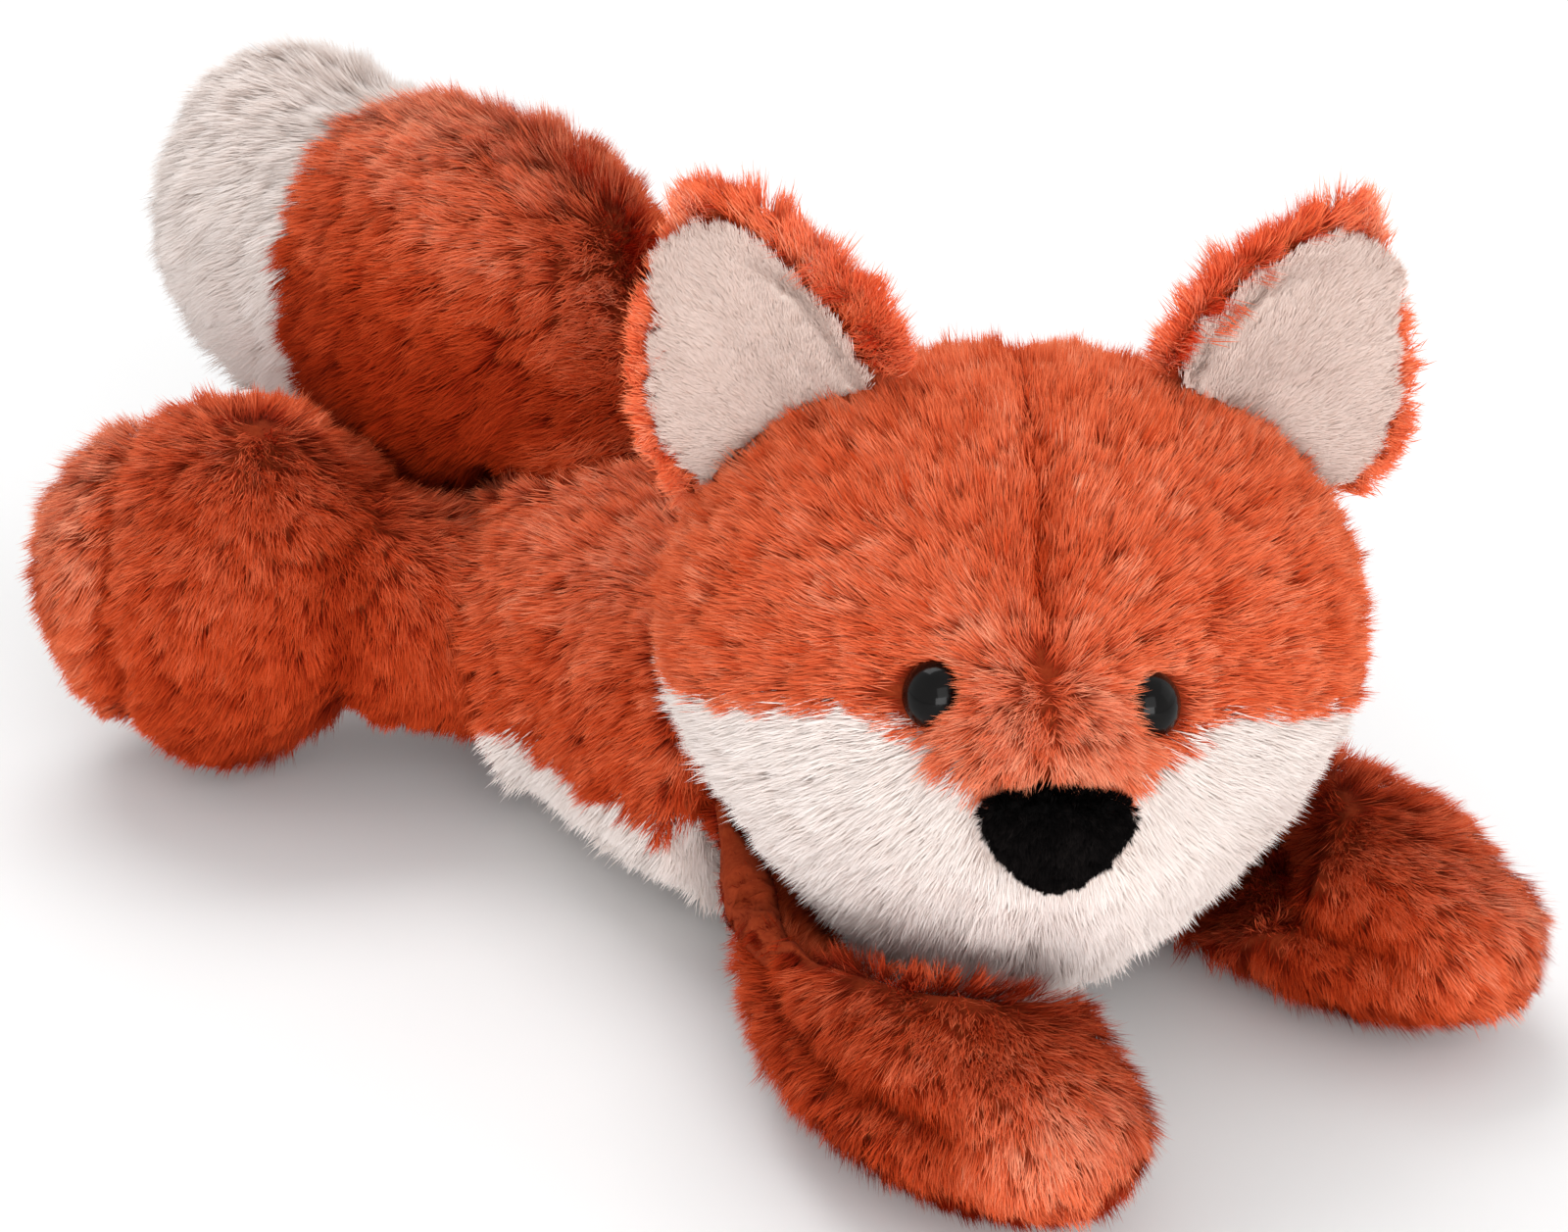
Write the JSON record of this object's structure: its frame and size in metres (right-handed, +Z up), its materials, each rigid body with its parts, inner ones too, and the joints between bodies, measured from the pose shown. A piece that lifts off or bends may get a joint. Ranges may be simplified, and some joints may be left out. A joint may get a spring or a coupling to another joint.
{
  "type": "plush fox",
  "caption": "Lying plush fox with a turned head, upright lined ears, glossy button eyes, outstretched legs and a raised tail with a white tip",
  "frame": {"origin": "on the floor, at the middle of the belly's flat underside", "axes": "+Z up; the torso lies along Y with its neck end towards -Y; the fox's right side is -X"},
  "size_m": [0.239, 0.4186, 0.1916],
  "materials": {
    "orange_pile": "long orange-red fur pile, combed, matte",
    "white_pile": "long warm-white fur pile, matte",
    "short_pile": "short brushed pile, off-white, matte",
    "black_pile": "short black velvet, matte",
    "filling": "white polyester fibre filling",
    "eye_plastic": "polished black, mirror-like",
    "washer_plastic": "plain moulded white"
  },
  "bodies": {
    "torso": {"torso_back_cover": "orange_pile", "torso_belly_cover": "white_pile", "torso_stuffing": "filling"},
    "head": {"head_crown_right": "orange_pile", "head_cheek_right": "white_pile", "head_crown_left": "orange_pile", "head_cheek_left": "white_pile", "head_stuffing": "filling", "nose_pad": "black_pile", "eye_right": "eye_plastic", "eye_washer_right": "washer_plastic", "eye_left": "eye_plastic", "eye_washer_left": "washer_plastic"},
    "tail": {"tail_cover": "orange_pile", "tail_tip_cover": "white_pile", "tail_stuffing": "filling"},
    "ear_right": {"ear_outer_right": "orange_pile", "ear_lining_right": "short_pile"},
    "foreleg_right": {"foreleg_cover_right": "orange_pile", "foreleg_sole_right": "orange_pile", "foreleg_stuffing_right": "filling"},
    "hindleg_right": {"hindleg_cover_right": "orange_pile", "hindleg_sole_right": "orange_pile", "hindleg_stuffing_right": "filling"},
    "ear_left": {"ear_outer_left": "orange_pile", "ear_lining_left": "short_pile"},
    "foreleg_left": {"foreleg_cover_left": "orange_pile", "foreleg_sole_left": "orange_pile", "foreleg_stuffing_left": "filling"},
    "hindleg_left": {"hindleg_cover_left": "orange_pile", "hindleg_sole_left": "orange_pile", "hindleg_stuffing_left": "filling"}
  },
  "joints": [
    {"name": "head_turn", "type": "hinge", "parent": "torso", "child": "head", "pos_m": [-0.00385, -0.08034, 0.0765], "axis": [0, 0, 1], "range_deg": [-6, 24]},
    {"name": "tail_swing", "type": "hinge", "parent": "torso", "child": "tail", "pos_m": [0, 0.05616, 0.07626], "axis": [0, 0, 1], "range_deg": [-4, 4]},
    {"name": "foreleg_swing_right", "type": "hinge", "parent": "torso", "child": "foreleg_right", "pos_m": [-0.033, -0.04368, 0.03534], "axis": [0, 0, -1], "range_deg": [-8, 10]},
    {"name": "hindleg_swing_right", "type": "hinge", "parent": "torso", "child": "hindleg_right", "pos_m": [-0.0297, 0.0624, 0.0372], "axis": [0, 0, 1], "range_deg": [-2, 10]},
    {"name": "foreleg_swing_left", "type": "hinge", "parent": "torso", "child": "foreleg_left", "pos_m": [0.033, -0.04368, 0.03534], "axis": [0, 0, 1], "range_deg": [-8, 10]},
    {"name": "hindleg_swing_left", "type": "hinge", "parent": "torso", "child": "hindleg_left", "pos_m": [0.0297, 0.0624, 0.0372], "axis": [0, 0, -1], "range_deg": [-2, 10]},
    {"name": "ear_fold_right", "type": "hinge", "parent": "head", "child": "ear_right", "pos_m": [-0.03197, -0.04776, 0.12999], "axis": [0.5769, -0.6781, 0.4553], "range_deg": [-8, 18], "stiffness_Nm_per_rad": 0.15},
    {"name": "ear_fold_left", "type": "hinge", "parent": "head", "child": "ear_left", "pos_m": [0.04016, -0.10017, 0.12531], "axis": [0.7809, -0.3084, -0.5433], "range_deg": [-8, 18], "stiffness_Nm_per_rad": 0.15}
  ]
}
